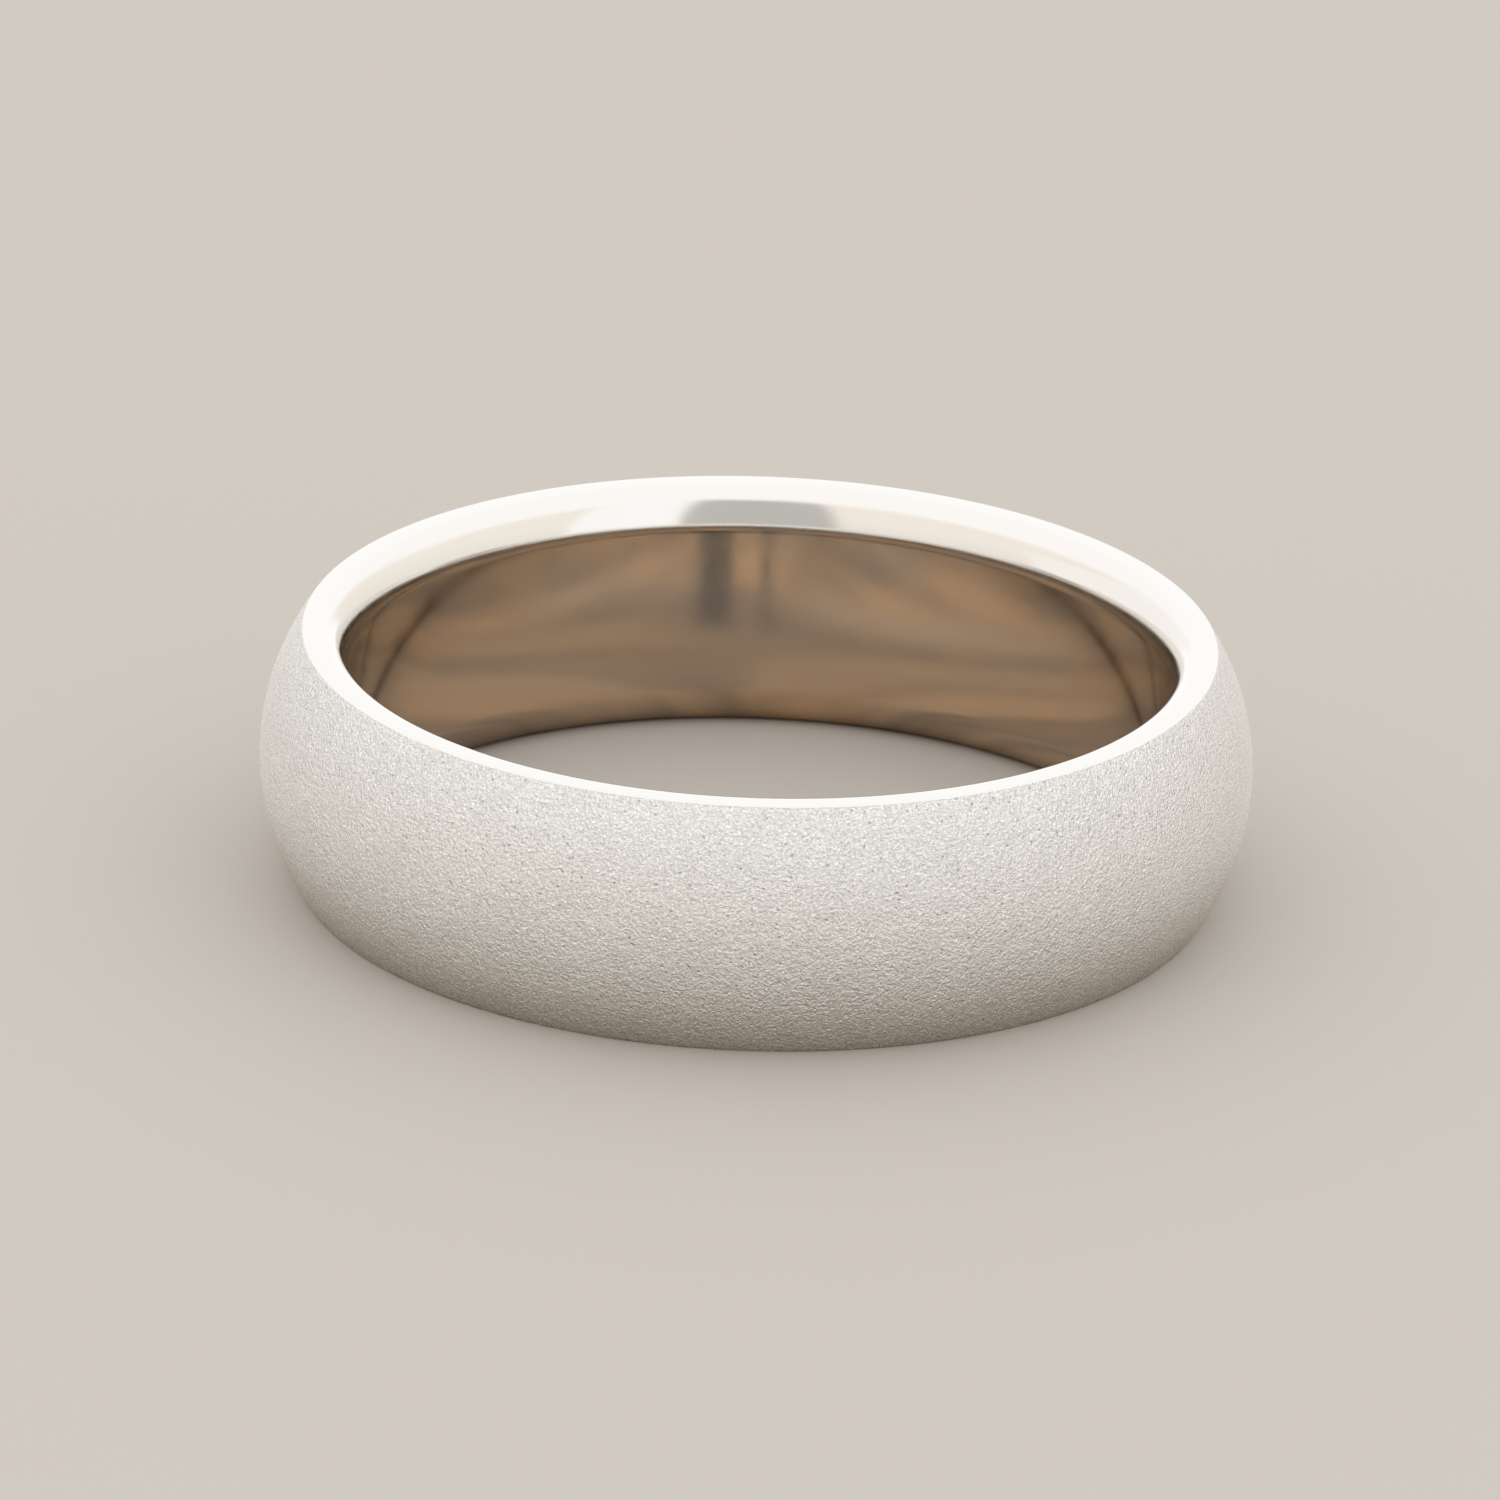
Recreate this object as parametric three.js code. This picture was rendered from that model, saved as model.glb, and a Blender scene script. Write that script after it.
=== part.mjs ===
// A comfort-fit wedding band, size 9: one solid ring of white metal.
//
// Millimetres. The band's axis is Z. The origin is on the axis, in the plane of the lower lip,
// so the band rests on z = 0 and its upper lip lies in the plane z = bandWidth.
//
// The section of the band, from the finger outwards:
//   - a straight bore, which turns into a wide comfort round and then a tighter edge round,
//     each tangent to the last, up to the lip
//   - a narrow flat lip at each side of the band, where the band rests
//   - a crown, one arc from lip to lip, which meets each lip at a crisp edge

import * as THREE from 'three';

// Driving dimensions
const boreDiameter = 19.0;    // finger size 9
const bandWidth = 6.0;        // along the finger
const wallThickness = 2.1;    // from the bore to the top of the crown
const lipLand = 0.44;         // width of the flat lip, measured outwards
const comfortRadius = 1.28;   // round between the bore and the edge round
const edgeRadius = 0.5;       // round between the comfort round and the lip
const blendTilt = THREE.MathUtils.degToRad(45);  // the slope at which one round takes over

// How finely the section and the turn are divided
const turnSegments = 96;
const crownSteps = 12;
const roundSteps = 3;

// Sizes that follow from them
const boreRadius = boreDiameter / 2;
const crownRadius = boreRadius + wallThickness;
const comfortDepth = comfortRadius * (1 - Math.cos(blendTilt));
const edgeDepth = edgeRadius * Math.cos(blendTilt);
const lipInnerRadius = boreRadius + comfortDepth + edgeDepth;
const lipOuterRadius = lipInnerRadius + lipLand;
const halfWidth = bandWidth / 2;

// Points along an arc in the (radius, height) plane, its first point left out
function arcPoints(centreRadius, centreHeight, radius, fromAngle, toAngle, steps) {
  const points = [];
  for (let i = 1; i <= steps; i += 1) {
    const angle = fromAngle + (toAngle - fromAngle) * (i / steps);
    points.push(new THREE.Vector2(
      centreRadius + radius * Math.cos(angle),
      centreHeight + radius * Math.sin(angle),
    ));
  }
  return points;
}

// The crown: one arc through both lip edges and the middle of the crown
function crownPoints() {
  const rise = crownRadius - lipOuterRadius;
  const arcRadius = (halfWidth ** 2 + rise ** 2) / (2 * rise);
  const halfAngle = Math.asin(halfWidth / arcRadius);
  return arcPoints(crownRadius - arcRadius, 0, arcRadius, -halfAngle, halfAngle, crownSteps);
}

// The inside of the upper half, from the lip's inner edge down to the straight bore
function upperInsidePoints() {
  const edgeHeight = halfWidth - edgeRadius;
  const blendHeight = edgeHeight + edgeRadius * Math.sin(blendTilt);
  const comfortHeight = blendHeight - comfortRadius * Math.sin(blendTilt);
  const quarter = Math.PI / 2;
  return [
    new THREE.Vector2(lipInnerRadius, halfWidth),
    ...arcPoints(lipInnerRadius, edgeHeight, edgeRadius, quarter, Math.PI - blendTilt, roundSteps),
    ...arcPoints(boreRadius + comfortRadius, comfortHeight, comfortRadius,
      Math.PI - blendTilt, Math.PI, roundSteps),
  ];
}

// The closed section, with its heights measured from the resting plane
function bandSection() {
  const upperInside = upperInsidePoints();
  const lowerInside = upperInside.map((p) => new THREE.Vector2(p.x, -p.y)).reverse();
  const section = [
    new THREE.Vector2(lipOuterRadius, -halfWidth),
    ...crownPoints(),
    ...upperInside,
    ...lowerInside,
  ];
  section.push(section[0].clone());
  return section.map((p) => new THREE.Vector2(p.x, p.y + halfWidth));
}

function makeBand() {
  const turned = new THREE.LatheGeometry(bandSection(), turnSegments);
  turned.rotateX(Math.PI / 2);  // the lathe turns about Y; the band's axis is Z
  const whiteMetal = new THREE.MeshStandardMaterial({
    color: 0xd6d2cb,
    roughness: 0.4,
    metalness: 1.0,
  });
  const band = new THREE.Mesh(turned, whiteMetal);
  band.name = 'band';
  return band;
}

const weddingBand = new THREE.Group();
weddingBand.add(makeBand());

export default weddingBand;
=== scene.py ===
"""A comfort-fit wedding band: sandblasted crown, polished lips, rounded inner edges and bore.

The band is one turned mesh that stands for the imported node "band". It has the node's section,
divided much more finely, with a crisp but not knife-sharp edge where the crown meets each lip, and
the shallow relief that blasting leaves on the crown.
"""

import math

import bpy
from mathutils import Matrix, Vector, noise


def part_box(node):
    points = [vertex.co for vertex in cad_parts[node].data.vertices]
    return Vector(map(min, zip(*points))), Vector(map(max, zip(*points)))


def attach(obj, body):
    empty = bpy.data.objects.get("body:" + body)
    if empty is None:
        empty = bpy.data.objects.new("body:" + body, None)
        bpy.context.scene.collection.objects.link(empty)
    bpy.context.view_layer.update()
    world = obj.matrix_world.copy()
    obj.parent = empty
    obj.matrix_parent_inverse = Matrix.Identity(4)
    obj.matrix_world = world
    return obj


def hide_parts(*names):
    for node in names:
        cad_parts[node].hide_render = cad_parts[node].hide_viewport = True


MM = 0.001

# Section of the band. Its width and outer size come from the frame.
WALL = 2.1 * MM                # bore to the top of the crown
LIP_LAND = 0.44 * MM           # flat of each lip, before its outer corner is rounded
COMFORT_RADIUS = 1.28 * MM     # round next to the bore
EDGE_RADIUS = 0.5 * MM         # round next to the lip
BLEND_TILT = math.radians(45)  # the slope at which one round takes over
CORNER_RADIUS = 0.035 * MM     # where the crown meets a lip

# How finely the band is turned, and how finely each stretch of half its section is divided
TURN_STEPS = 1040
CROWN_STEPS = 26
CORNER_STEPS = 3
LIP_STEPS = 2
EDGE_STEPS = 6
COMFORT_STEPS = 7
BORE_STEPS = 1

# The map of the turned surface: equal strips, with a gap round each
MAP_STRIPS = 2
MAP_GAP = 0.01

# Blasted relief that is in the mesh; the finest grain is in the material
DENT_SIZE = 0.30 * MM
FINE_DENT_SIZE = 0.5 * DENT_SIZE
FINE_DENT_SHIFT = Vector((17, 5, 29))
BROAD_DENTS = 0.6              # share of the relief
FINE_DENTS = 0.4
DENT_DEPTH = 0.0015 * MM

# Blasted metal
BLASTED_LIGHT = (0.960, 0.951, 0.938, 1.0)
BLASTED_DARK = (0.740, 0.731, 0.719, 1.0)
# painted shade: the colour that the pits are darkened towards
BLASTED_PIT_SHADE = (0.300, 0.294, 0.288, 1.0)
GRAIN_SIZE = 0.076 * MM
GRAIN_RELIEF = 0.070 * MM
NOISE_LOW, NOISE_HIGH = 0.30, 0.70       # where a noise's values mostly lie
PIT_RIM, PIT_FLOOR = 0.16, 0.06          # distances from a pit's middle, in cells
SWELL_HEIGHT = 0.25                      # against the dents
PIT_HEIGHT = 0.25
FLECK_TONE, CLOUD_TONE = 0.85, 0.15      # shares of the light and dark mottling
# how far the pits are darkened, as painted shade
PIT_SHADE_TONE = 0.5
MATT_ROUGH, FLECK_ROUGH = 0.34, 0.25

# Metal rubbed beside each lip
RUBBED_METAL = (0.900, 0.888, 0.870, 1.0)
RUB_REACH = 0.03 * MM          # how far it reaches down the crown
RUB_SOFT = RUB_REACH / 3
RUB_TONE = 0.7
RUB_GLOSS = 0.12               # how much less rough it is
RUB_WEAR = 0.6                 # share of the grain's relief that is worn off

# Polished metal
WHITE_METAL = (0.800, 0.780, 0.750, 1.0)
LINE_WIDTH = 0.03 * MM
LINE_RELIEF = 0.0005 * MM
LINE_TURNS = 5.0               # how fast a line changes round the hoop
LINE_SLANT = 1.7               # how much a lip's lines follow its radius
POLISH_LOW, POLISH_HIGH = 0.08, 0.13     # roughness, without haze and with it

# Floor. The camera sees one colour, and the metal mirrors two others: painted shade beside the band and
# painted light away from it.
FLOOR_PALE = (0.560, 0.522, 0.478, 1.0)
FLOOR_HALF = 2.0               # metres
# Painted reflections of the floor: painted light, lighter than the floor, away from the band, and painted
# shade, darker and warmer, beside it
PAINTED_LIGHT_FAR = (0.640, 0.610, 0.570, 1.0)     # lighter, away from the band
PAINTED_SHADE_NEAR = (0.430, 0.375, 0.320, 1.0)    # darker and warmer, beside it
PAINTED_SHADE_START = 0.4 * MM      # the near colour starts to fade this far inside the band's outside
PAINTED_SHADE_FADE = 3.2 * MM       # and is gone this far outside it

# Card in the bore, which only reflections see: a painted reflection, its dark brown painted shade on the
# floor inside the band
CARD_BROWN = (0.415, 0.290, 0.190, 1.0)
CARD_RUST = (0.480, 0.305, 0.172, 1.0)
CARD_DARK = (0.125, 0.098, 0.075, 1.0)
CARD_REACH = 0.58 * MM         # past the bore, under the lower round
CARD_LIFT = 0.02 * MM          # above the floor
CARD_SIDES = 96
CARD_STREAKS = (420.0, 110.0, 110.0)     # streaks per metre along each axis
STREAK_LOW, STREAK_HIGH = 0.34, 0.62     # noise where a streak is darkest and lightest
STREAK_DARKEST = 0.42                    # share of brown in the darkest streak
RUST_LOW, RUST_HIGH = 0.40, 0.60         # noise where brown turns to rust
CARD_FAN = 4.7 * MM            # its dark lines fan out from here, on Y
DARK_LINE_FADE_START = 2.6 * MM     # and fade out between these, on Y
DARK_LINE_FADE_END = 4.6 * MM
# dark lines painted on the card, for the bore to mirror
CARD_DARK_LINES = (                 # as slopes: middle, half of the dark part, half in all
    (0.240, 0.060, 0.120),
    (-0.020, 0.002, 0.045),
)

# Light, as multiples of plain white
CREAM_LEFT = (1.090, 1.030, 0.950, 1.0)
CREAM_RIGHT = (1.080, 1.030, 0.960, 1.0)
CREAM_GLOW = (1.130, 1.110, 1.080, 1.0)
CREAM_FOOT = (0.990, 0.945, 0.885, 1.0)
WHITE_SKY = (1.210, 1.200, 1.190, 1.0)
WHITE_LOW = (1.190, 1.200, 1.210, 1.0)
GREY_STAND = (0.620, 0.606, 0.585, 1.0)
BACKDROP = (0.700, 0.680, 0.650, 1.0)
BORE_BOUNCES = 10              # light that glances round the bore is mirrored many times

# Patches of wall: middle and half width in degrees from the camera's side, bottom and top as
# sines of elevations
WINDOW = (40, 16, -0.10, 0.93)
STAND = (1.5, 21.5, -0.20, 0.86)
GLOW = (-120, 40, -0.15, 0.40)
PATCH_SOFT_SIDE = math.radians(2.5)
PATCH_SOFT_END = 0.04

# Where one part of the surroundings gives way to the next, as (from, to) on a unit direction
OVERHEAD_LEAN = 0.35           # how much further down the white overhead comes behind the band
OVERHEAD_EDGE = (0.54, 0.66)
BEHIND_EDGE = (0.89, 0.94)
BEHIND_FOOT = (-0.02, 0.04)
WALL_SIDES = (-0.9, 0.9)
WALL_FOOT = (-0.10, 0.45)
SKY_RISE = (0.30, 0.75)

# Camera
VIEW_ELEVATION = math.radians(21.544)
VIEW_ROLL = math.radians(1.967)
VIEW_DISTANCE = 350.5 * MM
VIEW_LENS = 360.0
SENSOR_WIDTH = 36.0
CLIP_START, CLIP_END = 0.01, 20.0
AIM_RIGHT = -0.1458 * MM       # from the middle of the band
AIM_UP = 0.1502 * MM


# ---------------------------------------------------------------- section and mesh

def arc(centre, radius, start, end, steps):
    """Points along an arc in the (radius, height) plane, its first point left out."""
    angles = [start + (end - start) * i / steps for i in range(1, steps + 1)]
    return [(centre[0] + radius * math.cos(a), centre[1] + radius * math.sin(a)) for a in angles]


def straight(start, end, steps):
    """Points along a line, its first point left out."""
    shares = [i / steps for i in range(1, steps + 1)]
    return [(start[0] + (end[0] - start[0]) * s, start[1] + (end[1] - start[1]) * s) for s in shares]


def upper_half(crown_radius, half_width):
    """The section from the top of the crown over the lip to the middle of the bore, as
    (points, how many of them are crown)."""
    bore = crown_radius - WALL
    comfort_depth = COMFORT_RADIUS * (1 - math.cos(BLEND_TILT))
    lip_inner = bore + comfort_depth + EDGE_RADIUS * math.cos(BLEND_TILT)
    lip_outer = lip_inner + LIP_LAND
    rise = crown_radius - lip_outer
    crown_arc = (half_width ** 2 + rise ** 2) / (2 * rise)
    crown_centre = crown_radius - crown_arc

    # the corner's arc touches the crown from inside and the lip from below
    corner_height = half_width - CORNER_RADIUS
    inside = crown_arc - CORNER_RADIUS
    corner_angle = math.asin(corner_height / inside)
    corner = (crown_centre + inside * math.cos(corner_angle), corner_height)

    crown = arc((crown_centre, 0), crown_arc, 0, corner_angle, CROWN_STEPS)
    edge_centre = (lip_inner, half_width - EDGE_RADIUS)
    comfort_centre = (
        bore + COMFORT_RADIUS,
        edge_centre[1] + (EDGE_RADIUS - COMFORT_RADIUS) * math.sin(BLEND_TILT),
    )
    quarter = math.pi / 2
    points = (
        [(crown_radius, 0)]
        + crown
        + arc(corner, CORNER_RADIUS, corner_angle, quarter, CORNER_STEPS)
        + straight((corner[0], half_width), (lip_inner, half_width), LIP_STEPS)
        + arc(edge_centre, EDGE_RADIUS, quarter, math.pi - BLEND_TILT, EDGE_STEPS)
        + arc(comfort_centre, COMFORT_RADIUS, math.pi - BLEND_TILT, math.pi, COMFORT_STEPS)
        + straight((bore, comfort_centre[1]), (bore, 0), BORE_STEPS)
    )
    return points, len(crown) + 1


def band_section(crown_radius, half_width):
    """The closed section, starting at the top of the crown, and which of its points are crown."""
    upper, crown_count = upper_half(crown_radius, half_width)
    lower = [(r, -z) for r, z in reversed(upper[1:-1])]
    is_crown = [i < crown_count for i in range(len(upper))]
    is_crown += [is_crown[len(upper) - 2 - i] for i in range(len(lower))]
    return upper + lower, is_crown


def dent(place):
    """Height of the blasted relief at a place, from -1 to 1."""
    broad = noise.noise(place / DENT_SIZE)
    fine = noise.noise(place / FINE_DENT_SIZE + FINE_DENT_SHIFT)
    return BROAD_DENTS * broad + FINE_DENTS * fine


def turned_mesh(name, section, is_crown, base_height):
    """The section turned about Z, with the crown's relief pushed in along the section's normals."""
    count = len(section)
    vertices = []
    for step in range(TURN_STEPS):
        turn = 2 * math.pi * step / TURN_STEPS
        out = Vector((math.cos(turn), math.sin(turn), 0))
        for i, (radius, height) in enumerate(section):
            place = out * radius + Vector((0, 0, height + base_height))
            deep_crown = is_crown[i] and is_crown[i - 1] and is_crown[(i + 1) % count]
            if deep_crown:
                before, after = section[i - 1], section[(i + 1) % count]
                normal = out * (after[1] - before[1]) + Vector((0, 0, before[0] - after[0]))
                sink = DENT_DEPTH * (dent(place) - 1)
                place += normal.normalized() * sink
            vertices.append(place)

    faces = []
    slots = []
    for step in range(TURN_STEPS):
        here = step * count
        there = (step + 1) % TURN_STEPS * count
        for i in range(count):
            j = (i + 1) % count
            faces.append((here + i, there + i, there + j, here + j))
            slots.append(0 if is_crown[i] and is_crown[j] else 1)

    mesh = bpy.data.meshes.new(name)
    mesh.from_pydata(vertices, [], faces)
    mesh.polygons.foreach_set("material_index", slots)
    mesh.polygons.foreach_set("use_smooth", [True] * len(faces))
    mesh.update()
    return mesh


def lay_out_map(mesh, section):
    """A map of the turned surface in strips, each an equal share of the turn."""
    count = len(section)
    lengths = [0.0]
    for i in range(count):
        lengths.append(lengths[-1] + math.dist(section[i], section[(i + 1) % count]))
    layer = mesh.uv_layers.new(name="OFBake")
    per_strip = TURN_STEPS // MAP_STRIPS
    used = 1 - 2 * MAP_GAP
    for face in mesh.polygons:
        step, i = divmod(face.index, count)
        strip, along = divmod(step, per_strip)
        corners = ((along, i), (along + 1, i), (along + 1, i + 1), (along, i + 1))
        for loop, (a, b) in zip(face.loop_indices, corners):
            across = (strip + MAP_GAP + used * lengths[b] / lengths[-1]) / MAP_STRIPS
            layer.data[loop].uv = (MAP_GAP + used * a / per_strip, across)


# ---------------------------------------------------------------- shader helpers

def set_socket(tree, socket, value):
    """Link another node's output to a socket, or set the socket to a plain value."""
    if isinstance(value, bpy.types.NodeSocket):
        tree.links.new(value, socket)
    else:
        socket.default_value = value


def add(tree, kind, settings=None, **values):
    """A node of a kind, with its settings, and its inputs by name, or by number as _0, _1 and so on."""
    node = tree.nodes.new(kind)
    for key, value in (settings or {}).items():
        setattr(node, key, value)
    for key, value in values.items():
        which = int(key[1:]) if key[0] == "_" else key.replace("_", " ")
        set_socket(tree, node.inputs[which], value)
    return node


def math_node(tree, operation, a, b=0.0):
    """The result of one sum on two values, or on the first of them."""
    return add(tree, "ShaderNodeMath", {"operation": operation}, _0=a, _1=b).outputs[0]


def remap(tree, value, low, high, to_low=0.0, to_high=1.0):
    """A smooth step, from to_low where the value is low to to_high where it is high."""
    node = add(
        tree, "ShaderNodeMapRange", {"interpolation_type": "SMOOTHSTEP"},
        Value=value, From_Min=low, From_Max=high, To_Min=to_low, To_Max=to_high,
    )
    return node.outputs[0]


def mix_colour(tree, share, a, b):
    """Colour a where the share is 0, and colour b where it is 1."""
    return add(tree, "ShaderNodeMix", {"data_type": "RGBA"}, _0=share, _6=a, _7=b).outputs[2]


def new_group(name, inputs, outputs):
    """A shader node group with named inputs, as (name, kind, default), and named outputs."""
    group = bpy.data.node_groups.new(name, "ShaderNodeTree")
    for label, kind, default in inputs:
        socket = group.interface.new_socket(name=label, in_out="INPUT", socket_type=kind)
        if default is not None:
            socket.default_value = default
    for label, kind in outputs:
        group.interface.new_socket(name=label, in_out="OUTPUT", socket_type=kind)
    return group, group.nodes.new("NodeGroupInput"), group.nodes.new("NodeGroupOutput")


def use_group(tree, group, **values):
    """A node that runs a group, with the group's inputs given as add takes them."""
    return add(tree, "ShaderNodeGroup", {"node_tree": group}, **values)


def blast_grain_group():
    """Grit marks left by blasting: overlapping dents, flecks of metal and a few deeper pits."""
    group, given, out = new_group(
        "blast grain",
        [("Place", "NodeSocketVector", None), ("Grain size", "NodeSocketFloat", GRAIN_SIZE)],
        [("Height", "NodeSocketFloat"), ("Fleck", "NodeSocketFloat"), ("Cloud", "NodeSocketFloat"),
         ("Pit", "NodeSocketFloat")],
    )
    place, size = given.outputs["Place"], given.outputs["Grain size"]
    per_grain = math_node(group, "DIVIDE", 1.0, size)
    scaled = add(group, "ShaderNodeVectorMath", {"operation": "SCALE"}, Vector=place, Scale=per_grain)
    at = scaled.outputs[0]
    dents = add(group, "ShaderNodeTexNoise", Vector=at, Scale=1.0, Detail=2.0, Roughness=0.75)
    swell = add(group, "ShaderNodeTexNoise", Vector=at, Scale=0.37, Detail=0.0)
    fleck = add(group, "ShaderNodeTexNoise", Vector=at, Scale=1.25, Detail=1.0, Roughness=0.5)
    cloud = add(group, "ShaderNodeTexNoise", Vector=at, Scale=0.09, Detail=3.0, Roughness=0.6)
    pits = add(group, "ShaderNodeTexVoronoi", {"feature": "F1"}, Vector=at, Scale=0.30, Randomness=1.0)
    deep = remap(group, pits.outputs["Distance"], PIT_RIM, PIT_FLOOR)
    swelling = math_node(group, "MULTIPLY", swell.outputs["Fac"], SWELL_HEIGHT)
    height = math_node(group, "ADD", dents.outputs["Fac"], swelling)
    height = math_node(group, "SUBTRACT", height, math_node(group, "MULTIPLY", deep, PIT_HEIGHT))
    group.links.new(height, out.inputs["Height"])
    group.links.new(remap(group, fleck.outputs["Fac"], NOISE_LOW, NOISE_HIGH), out.inputs["Fleck"])
    group.links.new(remap(group, cloud.outputs["Fac"], NOISE_LOW, NOISE_HIGH), out.inputs["Cloud"])
    group.links.new(deep, out.inputs["Pit"])
    return group


def hoop_lines_group():
    """Fine polishing lines that run round the hoop, and the slow haze between them."""
    group, given, out = new_group(
        "hoop lines",
        [("Place", "NodeSocketVector", None), ("Line width", "NodeSocketFloat", LINE_WIDTH)],
        [("Height", "NodeSocketFloat"), ("Haze", "NodeSocketFloat")],
    )
    place, width = given.outputs["Place"], given.outputs["Line width"]
    parts = add(group, "ShaderNodeSeparateXYZ", Vector=place)
    x, y, z = parts.outputs["X"], parts.outputs["Y"], parts.outputs["Z"]
    flat = add(group, "ShaderNodeCombineXYZ", X=x, Y=y).outputs[0]
    radius = add(group, "ShaderNodeVectorMath", {"operation": "LENGTH"}, Vector=flat).outputs["Value"]
    across = math_node(group, "ADD", z, math_node(group, "MULTIPLY", radius, LINE_SLANT))
    turn_x = math_node(group, "MULTIPLY", math_node(group, "DIVIDE", x, radius), LINE_TURNS)
    turn_y = math_node(group, "MULTIPLY", math_node(group, "DIVIDE", y, radius), LINE_TURNS)
    line = math_node(group, "DIVIDE", across, width)
    line_at = add(group, "ShaderNodeCombineXYZ", X=turn_x, Y=turn_y, Z=line).outputs[0]
    lines = add(group, "ShaderNodeTexNoise", Vector=line_at, Scale=1.0, Detail=2.0, Roughness=0.6)
    haze = add(group, "ShaderNodeTexNoise", Vector=place, Scale=900.0, Detail=3.0, Roughness=0.6)
    group.links.new(lines.outputs["Fac"], out.inputs["Height"])
    group.links.new(remap(group, haze.outputs["Fac"], NOISE_LOW, NOISE_HIGH), out.inputs["Haze"])
    return group


def new_material(name, metallic):
    """A material, with its node tree, its Principled shader and the place that its marks sit at."""
    material = bpy.data.materials.new(name)
    material.use_nodes = True
    tree = material.node_tree
    shader = tree.nodes["Principled BSDF"]
    shader.inputs["Metallic"].default_value = metallic
    place = add(tree, "ShaderNodeTexCoord").outputs["Object"]
    return material, tree, shader, place


# ---------------------------------------------------------------- metals

def blasted_metal(grain, base_height, width):
    """White metal blasted with fine grit: matt, sparkling a little, rubbed brighter beside the lips, with
    painted shade darkening its pits.
    """
    material, tree, shader, place = new_material("sandblasted white metal", 1.0)
    marks = use_group(tree, grain, Place=place, Grain_size=GRAIN_SIZE)
    fleck, cloud, pit = marks.outputs["Fleck"], marks.outputs["Cloud"], marks.outputs["Pit"]

    # how much the edge beside each lip is rubbed, in ragged patches
    height = add(tree, "ShaderNodeSeparateXYZ", Vector=place).outputs["Z"]
    above_middle = math_node(tree, "SUBTRACT", height, base_height + width / 2)
    from_middle = math_node(tree, "ABSOLUTE", above_middle)
    from_lip = math_node(tree, "SUBTRACT", width / 2, from_middle)
    ragged = math_node(tree, "MULTIPLY", math_node(tree, "ADD", fleck, cloud), RUB_REACH / 2)
    rub = remap(tree, math_node(tree, "SUBTRACT", from_lip, ragged), RUB_SOFT, 0.0)

    fleck_tone = math_node(tree, "MULTIPLY", fleck, FLECK_TONE)
    cloud_tone = math_node(tree, "MULTIPLY", cloud, CLOUD_TONE)
    tone = math_node(tree, "ADD", fleck_tone, cloud_tone)
    colour = mix_colour(tree, tone, BLASTED_DARK, BLASTED_LIGHT)
    # painted shade in the pits
    colour = mix_colour(tree, math_node(tree, "MULTIPLY", pit, PIT_SHADE_TONE), colour, BLASTED_PIT_SHADE)
    colour = mix_colour(tree, math_node(tree, "MULTIPLY", rub, RUB_TONE), colour, RUBBED_METAL)
    tree.links.new(colour, shader.inputs["Base Color"])

    matt = remap(tree, fleck, 0.0, 1.0, MATT_ROUGH, FLECK_ROUGH)
    gloss = math_node(tree, "MULTIPLY", rub, -RUB_GLOSS)
    tree.links.new(math_node(tree, "ADD", matt, gloss), shader.inputs["Roughness"])

    unworn = math_node(tree, "SUBTRACT", 1.0, math_node(tree, "MULTIPLY", rub, RUB_WEAR))
    relief = math_node(tree, "MULTIPLY", marks.outputs["Height"], unworn)
    bump = add(tree, "ShaderNodeBump", Strength=1.0, Distance=GRAIN_RELIEF, Height=relief)
    tree.links.new(bump.outputs["Normal"], shader.inputs["Normal"])
    return material


def polished_metal(lines):
    """White metal polished to a mirror, with faint lines round the hoop and a little haze."""
    material, tree, shader, place = new_material("polished white metal", 1.0)
    shader.inputs["Base Color"].default_value = WHITE_METAL
    marks = use_group(tree, lines, Place=place, Line_width=LINE_WIDTH)
    rough = remap(tree, marks.outputs["Haze"], 0.0, 1.0, POLISH_LOW, POLISH_HIGH)
    tree.links.new(rough, shader.inputs["Roughness"])
    bump = add(tree, "ShaderNodeBump", Strength=1.0, Distance=LINE_RELIEF, Height=marks.outputs["Height"])
    tree.links.new(bump.outputs["Normal"], shader.inputs["Normal"])
    return material


# ---------------------------------------------------------------- pieces

def place_in_scene(name, mesh):
    """An object that shows a mesh."""
    piece = bpy.data.objects.new(name, mesh)
    bpy.context.scene.collection.objects.link(piece)
    return piece


def make_band(box):
    """The band: one turned mesh, blasted on the crown and polished everywhere else."""
    low, high = box
    crown_radius = (high.x - low.x) / 2
    half_width = (high.z - low.z) / 2
    section, is_crown = band_section(crown_radius, half_width)
    mesh = turned_mesh("band_finish", section, is_crown, low.z + half_width)
    lay_out_map(mesh, section)
    mesh.materials.append(blasted_metal(blast_grain_group(), low.z, 2 * half_width))
    mesh.materials.append(polished_metal(hoop_lines_group()))
    band = place_in_scene("band_finish", mesh)
    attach(band, "root")
    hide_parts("band")


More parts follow.
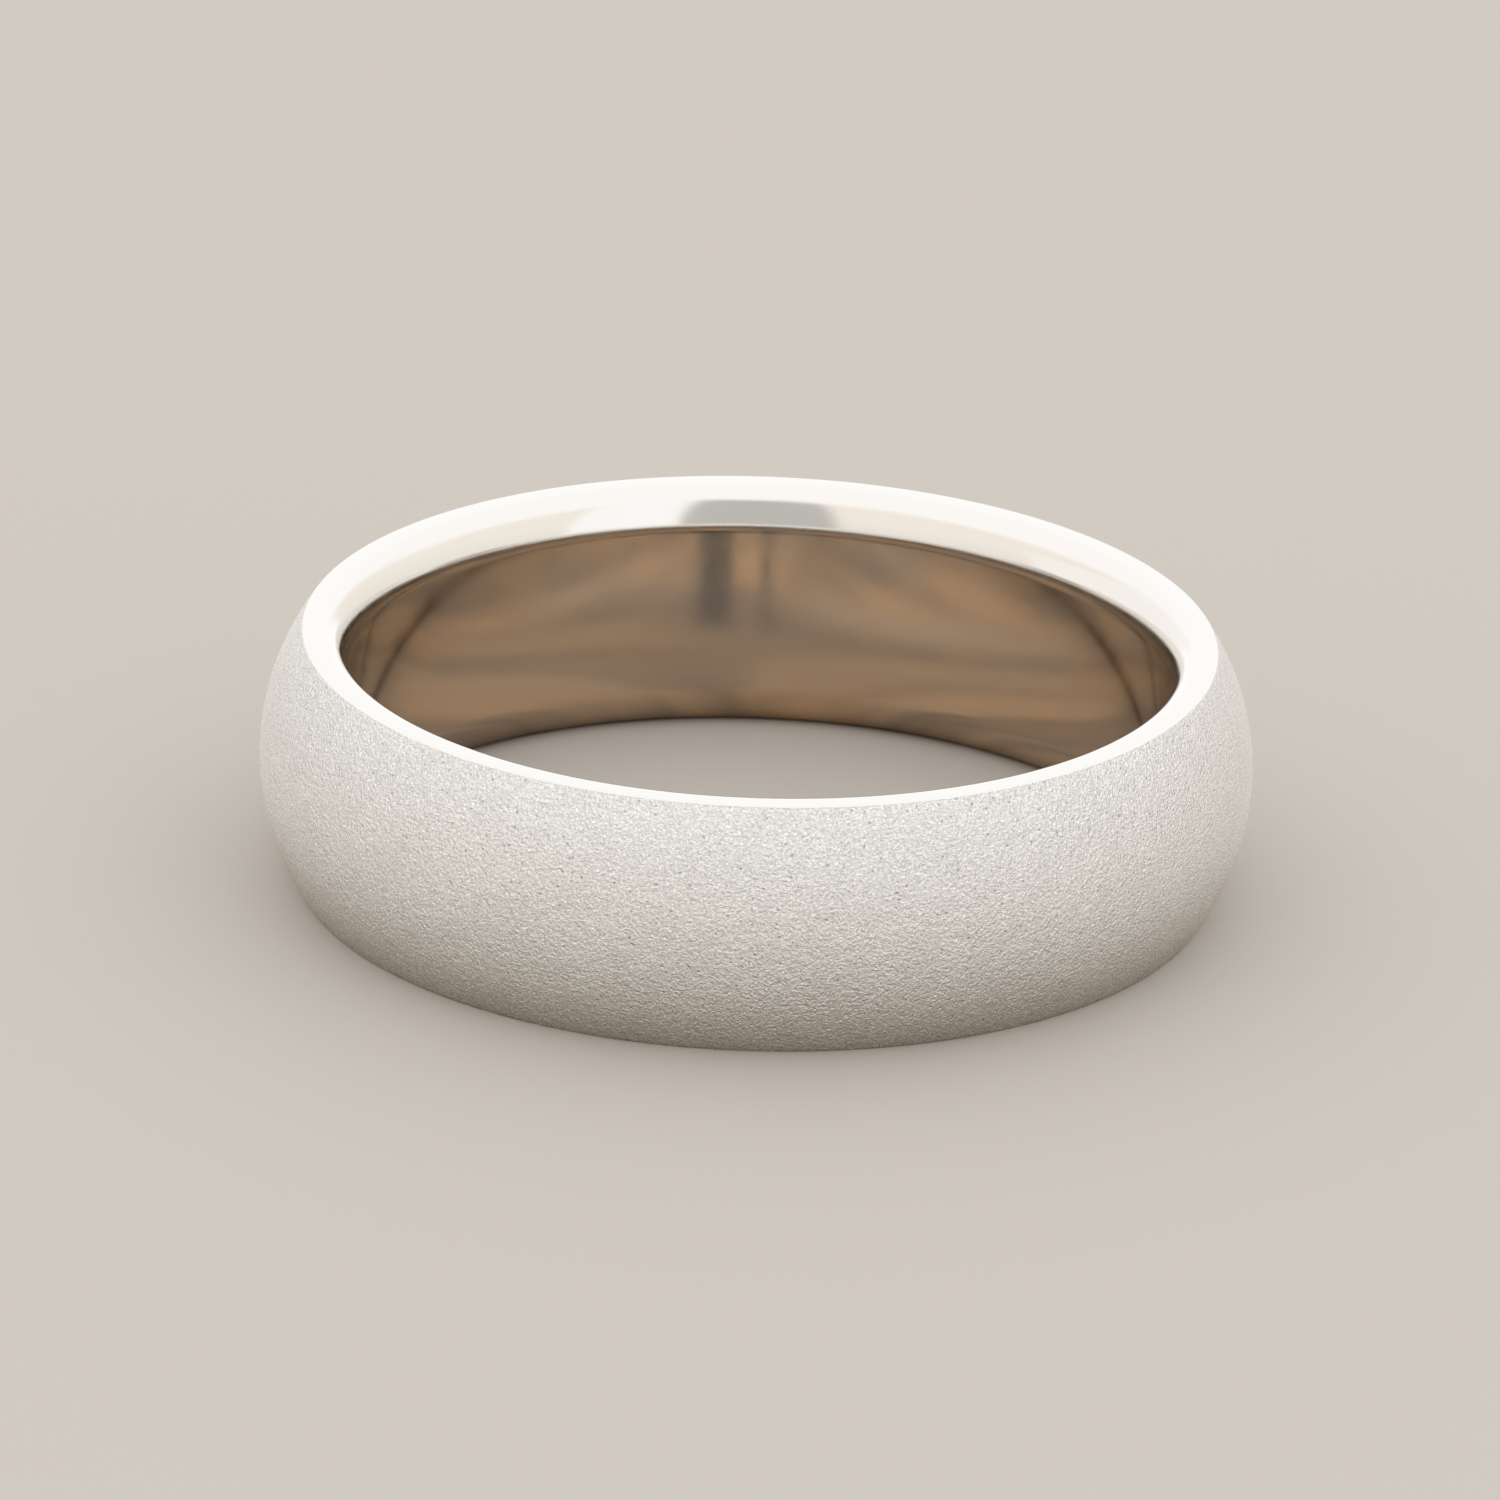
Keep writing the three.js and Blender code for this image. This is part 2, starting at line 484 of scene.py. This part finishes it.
def make_floor(box):
    """A plain pale floor. The metal mirrors it with painted shade, darker and warmer, close by the band,
    and painted light, lighter than the floor, far away.
    """
    half = FLOOR_HALF
    corners = [(-half, -half, 0), (half, -half, 0), (half, half, 0), (-half, half, 0)]
    mesh = bpy.data.meshes.new("floor")
    mesh.from_pydata(corners, [], [(0, 1, 2, 3)])
    material, tree, shader, place = new_material("pale floor", 0.0)
    from_axis = add(tree, "ShaderNodeVectorMath", {"operation": "LENGTH"}, Vector=place).outputs["Value"]
    outside = box[1].x
    # painted shade beside the band, giving way to painted light further out
    far = remap(tree, from_axis, outside - PAINTED_SHADE_START, outside + PAINTED_SHADE_FADE)
    mirrored = add(tree, "ShaderNodeLightPath").outputs["Is Glossy Ray"]
    # reflections see the painted shade and light, the camera sees the plain floor
    seen = mix_colour(tree, mirrored, FLOOR_PALE, mix_colour(tree, far, PAINTED_SHADE_NEAR, PAINTED_LIGHT_FAR))
    tree.links.new(seen, shader.inputs["Base Color"])
    shader.inputs["Roughness"].default_value = 0.8
    shader.inputs["Specular IOR Level"].default_value = 0.2
    mesh.materials.append(material)
    place_in_scene("floor", mesh)


def painted_reflection_card():
    """A painted reflection: streaky brown with rust-coloured patches, dark as painted shade on the floor
    inside the band, and dark lines that fan out and fade towards +Y.
    """
    material, tree, shader, place = new_material("painted reflection card", 0.0)
    stretch = add(tree, "ShaderNodeVectorMath", {"operation": "MULTIPLY"}, _0=place, _1=CARD_STREAKS)
    streaks = add(
        tree, "ShaderNodeTexNoise", Vector=stretch.outputs[0], Scale=1.0, Detail=2.0, Roughness=0.5,
    )
    share = remap(tree, streaks.outputs["Fac"], STREAK_LOW, STREAK_HIGH, STREAK_DARKEST, 1.0)
    parts = add(tree, "ShaderNodeSeparateXYZ", Vector=place)
    faded = remap(tree, parts.outputs["Y"], DARK_LINE_FADE_START, DARK_LINE_FADE_END)
    before_fan = math_node(tree, "SUBTRACT", CARD_FAN, parts.outputs["Y"])
    slope = math_node(tree, "DIVIDE", parts.outputs["X"], before_fan)
    # dark lines painted on the card, for the bore to mirror
    for middle, dark_half, soft_half in CARD_DARK_LINES:
        off = math_node(tree, "ABSOLUTE", math_node(tree, "SUBTRACT", slope, middle))
        clear = math_node(tree, "MAXIMUM", remap(tree, off, dark_half, soft_half), faded)
        share = math_node(tree, "MULTIPLY", share, clear)
    rusty = add(tree, "ShaderNodeTexNoise", Vector=place, Scale=170.0, Detail=1.0)
    rust = remap(tree, rusty.outputs["Fac"], RUST_LOW, RUST_HIGH)
    brown = mix_colour(tree, rust, CARD_BROWN, CARD_RUST)
    # the colour that the bore mirrors: a painted reflection, its dark brown painted shade
    tree.links.new(mix_colour(tree, share, CARD_DARK, brown), shader.inputs["Base Color"])
    shader.inputs["Roughness"].default_value = 0.9
    return material


def make_bore_reflection_card(box):
    """A card inside the band, which only reflections see: the bore mirrors it. It is a painted
    reflection, and its dark brown is painted shade on the floor inside the band.
    """
    low, high = box
    radius = (high.x - low.x) / 2 - WALL + CARD_REACH
    turns = [2 * math.pi * i / CARD_SIDES for i in range(CARD_SIDES)]
    rim = [(radius * math.cos(turn), radius * math.sin(turn), CARD_LIFT) for turn in turns]
    mesh = bpy.data.meshes.new("bore_reflection_card")
    mesh.from_pydata(rim, [], [tuple(range(CARD_SIDES))])
    mesh.materials.append(painted_reflection_card())
    card = place_in_scene("bore_reflection_card", mesh)
    card.visible_camera = False
    card.visible_diffuse = False
    card.visible_shadow = False


# ---------------------------------------------------------------- light and camera

def patch(tree, azimuth, up, middle, half_wide, bottom, top):
    """Share of a patch of wall: 1 inside it, 0 outside, with soft edges. Azimuths are in degrees
    from the camera's side, heights are sines of elevations."""
    off = math_node(tree, "ABSOLUTE", math_node(tree, "SUBTRACT", azimuth, math.radians(middle)))
    half = math.radians(half_wide)
    sides = remap(tree, off, half + PATCH_SOFT_SIDE, half - PATCH_SOFT_SIDE)
    above = remap(tree, up, bottom - PATCH_SOFT_END, bottom + PATCH_SOFT_END)
    below = remap(tree, up, top + PATCH_SOFT_END, top - PATCH_SOFT_END)
    return math_node(tree, "MULTIPLY", sides, math_node(tree, "MULTIPLY", above, below))


def make_world():
    """Soft light from all round: cream walls, with a grey stand and a white window on the camera's
    side, and white overhead and behind the band. The camera itself sees a plain backdrop."""
    world = bpy.data.worlds.new("soft studio")
    bpy.context.scene.world = world
    world.use_nodes = True
    tree = world.node_tree
    background = tree.nodes["Background"]
    direction = add(tree, "ShaderNodeTexCoord").outputs["Generated"]
    parts = add(tree, "ShaderNodeSeparateXYZ", Vector=direction)
    across, back, up = parts.outputs["X"], parts.outputs["Y"], parts.outputs["Z"]
    azimuth = math_node(tree, "ARCTAN2", across, math_node(tree, "MULTIPLY", back, -1.0))
    lean = math_node(tree, "ADD", up, math_node(tree, "MULTIPLY", back, OVERHEAD_LEAN))
    overhead = remap(tree, lean, *OVERHEAD_EDGE)
    behind = math_node(
        tree, "MULTIPLY", remap(tree, back, *BEHIND_EDGE), remap(tree, up, *BEHIND_FOOT))
    white = math_node(tree, "MAXIMUM", overhead, behind)

    wall = mix_colour(tree, remap(tree, across, *WALL_SIDES), CREAM_LEFT, CREAM_RIGHT)
    wall = mix_colour(tree, remap(tree, up, *WALL_FOOT), CREAM_FOOT, wall)
    wall = mix_colour(tree, patch(tree, azimuth, up, *GLOW), wall, CREAM_GLOW)
    colour = mix_colour(tree, patch(tree, azimuth, up, *STAND), wall, GREY_STAND)
    colour = mix_colour(tree, patch(tree, azimuth, up, *WINDOW), colour, WHITE_LOW)
    sky = mix_colour(tree, remap(tree, up, *SKY_RISE), WHITE_LOW, WHITE_SKY)
    colour = mix_colour(tree, white, colour, sky)
    seen = add(tree, "ShaderNodeLightPath").outputs["Is Camera Ray"]
    tree.links.new(mix_colour(tree, seen, colour, BACKDROP), background.inputs["Color"])
    background.inputs["Strength"].default_value = 1.0


def make_camera(box):
    """A long lens, a little above the table and turned a little."""
    low, high = box
    turn = Matrix.Rotation(math.pi / 2 - VIEW_ELEVATION, 3, "X") @ Matrix.Rotation(VIEW_ROLL, 3, "Z")
    right, up, back = turn.col
    aim = (low + high) / 2 + right * AIM_RIGHT + up * AIM_UP
    data = bpy.data.cameras.new("camera")
    data.lens = VIEW_LENS
    data.sensor_width = SENSOR_WIDTH
    data.clip_start = CLIP_START
    data.clip_end = CLIP_END
    camera = bpy.data.objects.new("camera", data)
    camera.matrix_world = Matrix.Translation(aim + back * VIEW_DISTANCE) @ turn.to_4x4()
    bpy.context.scene.collection.objects.link(camera)
    bpy.context.scene.camera = camera


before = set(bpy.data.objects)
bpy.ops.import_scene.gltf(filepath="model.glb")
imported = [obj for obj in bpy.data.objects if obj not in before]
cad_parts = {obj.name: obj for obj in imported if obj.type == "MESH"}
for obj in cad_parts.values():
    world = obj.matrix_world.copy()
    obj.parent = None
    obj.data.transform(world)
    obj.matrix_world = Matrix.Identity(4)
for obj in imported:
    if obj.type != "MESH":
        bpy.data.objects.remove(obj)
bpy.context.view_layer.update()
band_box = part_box("band")

make_band(band_box)
make_floor(band_box)
make_bore_reflection_card(band_box)
make_world()
make_camera(band_box)
bpy.context.scene.view_settings.view_transform = "Standard"
bpy.context.scene.cycles.glossy_bounces = BORE_BOUNCES
